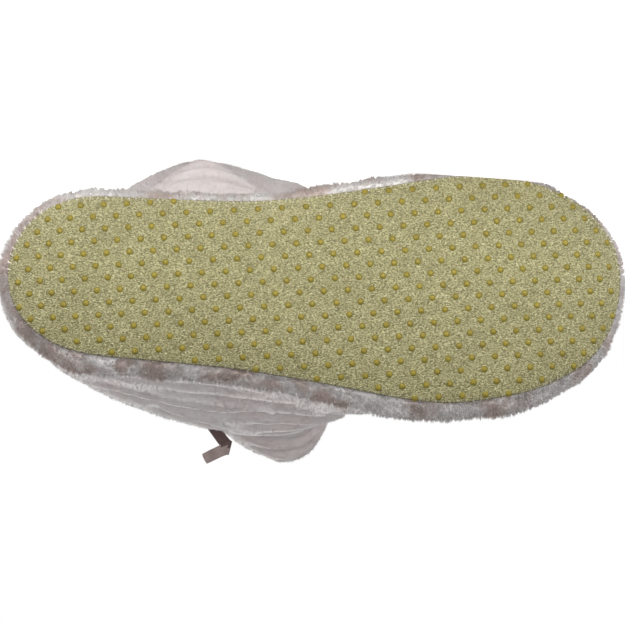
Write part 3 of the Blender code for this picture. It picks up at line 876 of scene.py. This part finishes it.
def pile_mesh(name, roots, tips, widths, tones):
    """Joined fibres: three long sides that meet at a tip, root to tip in an attribute."""
    count = len(roots)
    ways = unit(tips - roots)
    side = unit(np.cross(ways, np.where(np.abs(ways[:, 2:]) < 0.9, [[0, 0, 1.0]], [[1.0, 0, 0]])))
    other = np.cross(ways, side)
    ring = []
    for k in range(3):
        turn = 2 * pi * k / 3
        ring.append(roots + (side * cos(turn) + other * sin(turn)) * (0.5 * widths)[:, None])
    points = to_world(np.stack([*ring, tips], axis=1).reshape(-1, 3))
    points = keep_off_floor(points, TRIM_LOWEST)
    start = 4 * np.arange(count)[:, None]
    faces = np.concatenate([start + [0, 1, 3], start + [1, 2, 3], start + [2, 0, 3]], axis=1).reshape(-1, 3)
    mesh = bpy.data.meshes.new(name)
    mesh.vertices.add(len(points))
    mesh.vertices.foreach_set("co", points.astype(np.float32).ravel())
    mesh.loops.add(faces.size)
    mesh.loops.foreach_set("vertex_index", faces.astype(np.int32).ravel())
    mesh.polygons.add(len(faces))
    mesh.polygons.foreach_set("loop_start", np.arange(0, faces.size, 3, dtype=np.int32))
    mesh.update(calc_edges=True)
    add_values(mesh, "fibre_height", np.tile([0, 0, 0, 1], count))
    add_values(mesh, "fibre_tone", np.repeat(tones, 4))
    return new_piece(name, mesh)


def gathered(roots, tips, a_tuft, gather, chance):
    """Draws the tips of about a_tuft fibres at a time together, so that the pile stands in tufts."""
    heads = chance.choice(len(roots), len(roots) // a_tuft, replace=False)
    tree = KDTree(len(heads))
    for order, head in enumerate(heads):
        tree.insert(roots[head], order)
    tree.balance()
    nearest = heads[[tree.find(place)[1] for place in roots]]
    return tips + gather * (tips[nearest] - tips)


def grow_pile(name, wall, count, length, wanted, finish, seed, width, lean, tuft, gather, settle=None):
    """Grows fibres on a wall: they lean along the nap, gather in tufts and lie down on the floor."""
    places, upright, chance = scatter(wall.data, count, seed, wanted)
    swirl = drift(places, 2.5 * tuft)
    ways = unit(upright + np.array(NAP) * lean + 0.6 * swirl + chance.normal(0, 0.25, (count, 3)))
    lengths = length * (0.75 + 0.5 * chance.random(count)) * (1 + 0.45 * clouds(places, 2.2 * tuft))
    if settle is not None:
        lengths = lengths * settle(places)
    roots = places - ROOT_DEPTH * upright
    tips = gathered(roots, roots + ways * lengths[:, None], int(2.0 * tuft) + 3, gather, chance)
    widths = width * (0.8 + 0.4 * chance.random(count))
    piece = pile_mesh(name, roots, tips, widths, chance.random(count))
    piece.data.materials.append(materials()[finish])
    return finish_piece(piece, "root")


def add_camera():
    """The photograph's view: level with the floor, rolled over, looking at the sole."""
    ahead = np.array([tan(CAMERA_SWING), -tan(CAMERA_TILT), 1.0])
    ahead /= np.linalg.norm(ahead)
    eye = to_world(np.array(TARGET) - CAMERA_DISTANCE * ahead)
    forward = TURN @ ahead
    up = TURN @ np.array([0, -1.0, 0])
    up = up - forward * (up @ forward)
    up /= np.linalg.norm(up)
    right = np.cross(forward, up)
    data = bpy.data.cameras.new("photo view")
    data.sensor_width = SENSOR
    data.lens = PIXELS_PER_MM * CAMERA_DISTANCE * SENSOR / IMAGE_WIDTH
    data.clip_start = 0.05
    data.clip_end = 50
    camera = bpy.data.objects.new("photo view", data)
    camera.matrix_world = Matrix(
        [(*(right[i], up[i], -forward[i]), eye[i]) for i in range(3)] + [(0, 0, 0, 1)]
    )
    bpy.context.collection.objects.link(camera)
    bpy.context.scene.camera = camera


def add_softbox(name, place, aim, width, height, power):
    """A soft panel that lights the shoe and isn't seen itself."""
    data = bpy.data.lights.new(name, "AREA")
    data.shape = "RECTANGLE"
    data.size = width
    data.size_y = height
    data.energy = power
    lamp = bpy.data.objects.new(name, data)
    lamp.location = place
    lamp.rotation_euler = (Vector(aim) - Vector(place)).to_track_quat("-Z", "Y").to_euler()
    lamp.visible_camera = False
    bpy.context.collection.objects.link(lamp)


def studio_world():
    """A white surround that lights the shoe less than it shows, so that the floor's light counts."""
    world = bpy.data.worlds.new("studio")
    world.use_nodes = True
    tree = world.node_tree
    background = tree.nodes["Background"]
    background.inputs["Color"].default_value = (1, 1, 1, 1)
    tree.links.new(seen_or_not(tree, 1.0, SURROUND_LIGHT), background.inputs["Strength"])
    return world


def length_property(name, description, value):
    """A length in metres that the panel can show."""
    return FloatProperty(
        name=name, description=description, default=value, subtype="DISTANCE", unit="LENGTH"
    )


class SlipperSizes(bpy.types.PropertyGroup):
    """Sizes that a user may change, in metres where they have a unit."""

    shaft_pile: length_property("Shaft pile", "Length of the short pile on the shaft and quarters", 0.0010)
    band_pile: length_property("Band pile", "Length of the shaggy pile on the platform band", 0.0022)
    fleece_pile: length_property("Fleece pile", "Length of the fleece inside", 0.0022)
    dot_pitch: length_property("Dot pitch", "Distance between grip dots in a row", 0.01024)
    dot_size: length_property("Dot size", "Diameter of a grip dot", 0.0025)
    stitch_pitch: length_property("Stitch pitch", "Distance between stitches round the sole", 0.0032)
    shaft_fibres: IntProperty(
        name="Shaft fibres", description="Fibres on the upper's outer wall", default=64000
    )
    band_fibres: IntProperty(
        name="Band fibres", description="Fibres on the platform band", default=64000
    )


def colour_property(name, description, value):
    """A colour that the panel can show."""
    return FloatVectorProperty(
        name=name, description=description, subtype="COLOR", size=3, min=0, max=1, default=value
    )


class SlipperColours(bpy.types.PropertyGroup):
    """Base colours, as linear values."""

    shaft: colour_property("Shaft", "Plush of the shaft and quarters", (0.665, 0.638, 0.63))
    shaft_dusky: colour_property("Shaft, dusky", "Its rosier patches", (0.63, 0.55, 0.54))
    band: colour_property("Band", "Plush of the platform band", (0.94, 0.91, 0.90))
    band_dusky: colour_property("Band, dusky", "Its rosier patches", (0.68, 0.555, 0.51))
    lining: colour_property("Lining", "Fleece inside", (0.86, 0.83, 0.81))
    sole: colour_property("Sole cloth", "Middle colour of the sole cloth", (0.505, 0.464, 0.23))
    # Painted shade in the sole cloth's crinkle hollows, and painted light on their crests.
    sole_hollow_shade: colour_property("Sole hollow shade", "Sole cloth between its crinkles", (0.25, 0.225, 0.098))
    sole_crest_light: colour_property("Sole crest light", "Sole cloth on its crinkles", (0.77, 0.73, 0.43))
    dot: colour_property("Dots", "Grip dots", (0.25, 0.198, 0.024))
    dot_rim: colour_property("Dot rims", "Thin rim of a grip dot", (0.66, 0.60, 0.20))
    ribbon: colour_property("Ribbon", "Satin ribbon", (0.38, 0.30, 0.28))
    # Painted shade: the folded tail's turned first length is darker than the satin; its back is also matt.
    ribbon_back_shade: colour_property("Ribbon back", "The ribbon's matt back, darkened as painted shade", (0.13, 0.085, 0.08))
    thread: colour_property("Thread", "Sewing thread round the sole", (0.80, 0.75, 0.62))
    floor: colour_property("Floor", "Paper floor", (0.92, 0.92, 0.92))


class SLIPPER_OT_upper(bpy.types.Operator):
    """Makes the plush upper with its creases and gathered neck"""

    bl_idname = "slipper.upper"
    bl_label = "Plush upper"

    def execute(self, context):
        piece = cloth_copy("plush_upper", "upper", 2)
        mesh = piece.data
        points, normals = surface(mesh)
        faces = [tuple(face.vertices) for face in mesh.polygons]
        inner = ~outward(points, normals)
        points = gather_at_tie(press_creases(points, normals, faces))
        clear = np.clip((points[:, 2] - UNEVEN_FROM) / UNEVEN_BLEND, 0, 1)
        lift = UNEVEN_DEPTH * clear * np.where(inner, -1, 1) * clouds(points, 13, 2)
        points += normals * lift[:, None]
        write_points(mesh, keep_off_floor(to_world(points), CLOTH_LOWEST))
        mesh.materials.append(materials()["shaft wall"])
        mesh.materials.append(materials()["lining wall"])
        lined = np.array([all(inner[i] for i in face) for face in faces])
        mesh.polygons.foreach_set("material_index", lined.astype(np.int32))
        finish_piece(piece, "root", "upper")
        return {"FINISHED"}


class SLIPPER_OT_band(bpy.types.Operator):
    """Makes the padded platform band between the sole and the upper"""

    bl_idname = "slipper.band"
    bl_label = "Plush band"

    def execute(self, context):
        piece = cloth_copy("plush_band", "platform_band", 2)
        mesh = piece.data
        points, normals = surface(mesh)
        way = unit(from_middle(points))
        along = points[:, 0]
        outer = (way * normals).sum(1) > 0.3
        heel = 1 - smooth_step(along, 4, 30)
        outer_toe = smooth_step(along, 205, 240) * smooth_step(way[:, 1], -0.3, 0.6)
        inner_toe = smooth_step(along, 100, 150) * smooth_step(-way[:, 1], 0.1, 0.8)
        toe_end = smooth_step(way[:, 0], 0.75, 1.0) * (along > 200)
        room = PILE_ROOM + HEEL_ROOM * heel + OUTER_TOE_ROOM * outer_toe
        room -= INNER_TOE_FULLNESS * inner_toe + TOE_END_FULLNESS * toe_end
        points -= way * (room * outer)[:, None]
        points += normals * (outer * (0.9 * clouds(points, 12) + 0.5 * clouds(points, 5)))[:, None]
        write_points(mesh, keep_off_floor(to_world(points), CLOTH_LOWEST))
        mesh.materials.append(materials()["band wall"])
        finish_piece(piece, "root", "platform_band")
        return {"FINISHED"}


class SLIPPER_OT_sole(bpy.types.Operator):
    """Makes the crinkled sole cloth"""

    bl_idname = "slipper.sole"
    bl_label = "Sole cloth"

    def execute(self, context):
        piece = cloth_copy("sole_cloth", "outsole", 3)
        mesh = piece.data
        points, normals = surface(mesh)
        under = normals[:, 2] < -0.5
        points += normals * (0.18 * under * clouds(points, 16, 2))[:, None]
        points += turned_edge(points)
        write_points(mesh, keep_off_floor(to_world(points), CLOTH_LOWEST))
        # painted shadow: the cloth's turned-up rim is marked for darkening along the seam
        add_values(mesh, "seam_shade", smooth_step(normals[:, 2], -0.7, -0.3))
        mesh.materials.append(materials()["sole"])
        finish_piece(piece, "root", "outsole")
        return {"FINISHED"}


class SLIPPER_OT_footbed(bpy.types.Operator):
    """Makes the fleece footbed inside the shoe"""

    bl_idname = "slipper.footbed"
    bl_label = "Footbed"

    def execute(self, context):
        piece = cloth_copy("fleece_footbed", "insole", 2)
        mesh = piece.data
        points, normals = surface(mesh)
        points += normals * (0.3 * (normals[:, 2] > 0.5) * clouds(points, 14, 2))[:, None]
        write_points(mesh, to_world(points))
        mesh.materials.append(materials()["lining wall"])
        finish_piece(piece, "root", "insole")
        return {"FINISHED"}


class SLIPPER_OT_pile(bpy.types.Operator):
    """Grows the pile on the upper, the band, the lining and the footbed"""

    bl_idname = "slipper.pile"
    bl_label = "Pile"

    def execute(self, context):
        sizes = context.scene.slipper_sizes
        thin = 1
        upper = bpy.data.objects["plush_upper"]
        band = bpy.data.objects["plush_band"]
        footbed = bpy.data.objects["fleece_footbed"]

        def outer_wall(places, normals):
            return np.where(outward(places, normals) & (places[:, 2] > OUTER_PILE_FROM), 1.0, 0.0)

        def inner_wall(places, normals):
            return np.where(~outward(places, normals) & (places[:, 2] > INNER_PILE_FROM), 1.0, 0.0)

        def band_front(places, normals):
            return np.where((unit(from_middle(places)) * normals).sum(1) > -0.1, 1.0, 0.0)

        def topside(places, normals):
            return np.where(normals[:, 2] > 0.5, 1.0, 0.0)

        def pressed_by_tie(places):
            beside = np.abs(places[:, 2] - TIE_HEIGHT) - TIE_HALF_WIDTH
            return np.clip(0.25 + beside / 4, 0.25, 1.0)

        shaft, shag, fleece = (x / MM for x in (sizes.shaft_pile, sizes.band_pile, sizes.fleece_pile))
        grow_pile("shaft_pile", upper, sizes.shaft_fibres // thin, shaft, outer_wall, "shaft fibre",
                  **SHAFT_PILE, settle=pressed_by_tie)
        grow_pile("band_pile", band, sizes.band_fibres // thin, shag, band_front, "band fibre",
                  **BAND_PILE)
        grow_pile("lining_pile", upper, LINING_FIBRES // thin, fleece, inner_wall, "lining fibre",
                  **LINING_PILE)
        grow_pile("footbed_pile", footbed, FOOTBED_FIBRES // thin, fleece, topside, "lining fibre",
                  **FOOTBED_PILE)
        return {"FINISHED"}


class SLIPPER_OT_dots(bpy.types.Operator):
    """Moulds the rubber grip dots on the sole"""

    bl_idname = "slipper.dots"
    bl_label = "Grip dots"

    def execute(self, context):
        sizes = context.scene.slipper_sizes
        shape, shape_faces, heights = one_dot(sizes.dot_size / MM)
        search = sole_search()
        pitch = sizes.dot_pitch / MM
        points, faces = [], []
        for row in DOT_ROWS:
            for column in DOT_COLUMNS:
                step = column + 0.5 * (row % 2)
                along = step * pitch - END_DRAW * step**3
                across = row * ROW_GAP * pitch
                x = DOT_START[0] + along * cos(ROWS_RISE) + across * sin(ROWS_RISE)
                y = DOT_START[1] - along * sin(ROWS_RISE) + across * cos(ROWS_RISE)
                hit, normal = search.ray_cast(Vector((x, y, -40)), Vector((0, 0, 1)))[:2]
                if hit is None or normal.z >= -0.8:
                    continue
                side = Vector((1, 0, 0)).cross(normal).normalized()
                ahead = normal.cross(side)
                faces += [[i + len(points) for i in face] for face in shape_faces]
                points += [hit + ahead * p[0] + side * p[1] + normal * p[2] for p in shape]
        piece = joined_piece("grip_dots", points, faces, "dots")
        add_values(piece.data, "dot_height", np.tile(heights, len(points) // len(shape)))
        return {"FINISHED"}


class SLIPPER_OT_stitches(bpy.types.Operator):
    """Sews the sole cloth to the band with slanted stitches"""

    bl_idname = "slipper.stitches"
    bl_label = "Edge stitches"

    def execute(self, context):
        edge, out = sole_edge(context.scene.slipper_sizes.stitch_pitch / MM)
        ahead = unit(np.roll(edge, -1, axis=0) - np.roll(edge, 1, axis=0))
        up = np.array([0, 0, 1.0])
        points, faces = [], []
        for place, away, on in zip(edge, out, ahead):
            stitch = [place + a * away + b * up + c * on for a, b, c in STITCH]
            add_thread(points, faces, stitch, THREAD_RADIUS if place[1] < 0 else SUNK_THREAD_RADIUS)
        joined_piece("edge_stitches", points, faces, "thread")
        return {"FINISHED"}


class SLIPPER_OT_ribbon(bpy.types.Operator):
    """Softens the ribbon's tie, knot, loops and tails"""

    bl_idname = "slipper.ribbon"
    bl_label = "Ribbon"

    def execute(self, context):
        for node in RIBBON_NODES:
            piece = cloth_copy("satin_" + node.split("_", 1)[1], node, 2, crease=0.85)
            piece.data.materials.append(materials()["ribbon"])
            if node == "bow_tail_folded":
                show_shaded_back(piece.data)
            finish_piece(piece, "root", node)
        return {"FINISHED"}


class SLIPPER_OT_stage(bpy.types.Operator):
    """Sets the pale floor, the soft lights and the camera"""

    bl_idname = "slipper.stage"
    bl_label = "Stage"

    def execute(self, context):
        bpy.ops.object.select_all(action="DESELECT")
        bpy.ops.mesh.primitive_plane_add(size=FLOOR_SIZE, location=(0, 0, FLOOR_HEIGHT))
        floor = context.active_object
        floor.name = "paper_floor"
        floor.data.materials.append(floor_material(context.scene.slipper_colours))
        for softbox in SOFTBOXES:
            add_softbox(*softbox)
        context.scene.world = studio_world()
        context.scene.view_settings.view_transform = "Standard"
        add_camera()
        return {"FINISHED"}


class SLIPPER_PT_panel(bpy.types.Panel):
    """Lists the slipper's sizes, colours and makers"""

    bl_label = "Slipper"
    bl_idname = "SLIPPER_PT_panel"
    bl_space_type = "VIEW_3D"
    bl_region_type = "UI"
    bl_category = "Slipper"

    def draw(self, context):
        for group in (context.scene.slipper_sizes, context.scene.slipper_colours):
            for name in group.bl_rna.properties.keys():
                if name not in ("rna_type", "name"):
                    self.layout.prop(group, name)
        for operator in OPERATORS:
            self.layout.operator(operator.bl_idname)


OPERATORS = (
    SLIPPER_OT_upper,
    SLIPPER_OT_band,
    SLIPPER_OT_sole,
    SLIPPER_OT_footbed,
    SLIPPER_OT_pile,
    SLIPPER_OT_dots,
    SLIPPER_OT_stitches,
    SLIPPER_OT_ribbon,
    SLIPPER_OT_stage,
)


CLASSES = (SlipperSizes, SlipperColours, *OPERATORS, SLIPPER_PT_panel)


def register():
    for item in CLASSES:
        bpy.utils.register_class(item)
    bpy.types.Scene.slipper_sizes = PointerProperty(type=SlipperSizes)
    bpy.types.Scene.slipper_colours = PointerProperty(type=SlipperColours)


def unregister():
    del bpy.types.Scene.slipper_sizes
    del bpy.types.Scene.slipper_colours
    for item in reversed(CLASSES):
        bpy.utils.unregister_class(item)


def main():
    register()
    bpy.ops.slipper.upper()
    bpy.ops.slipper.band()
    bpy.ops.slipper.sole()
    bpy.ops.slipper.footbed()
    bpy.ops.slipper.pile()
    bpy.ops.slipper.dots()
    bpy.ops.slipper.stitches()
    bpy.ops.slipper.ribbon()
    bpy.ops.slipper.stage()


if __name__ == "__main__":
    main()
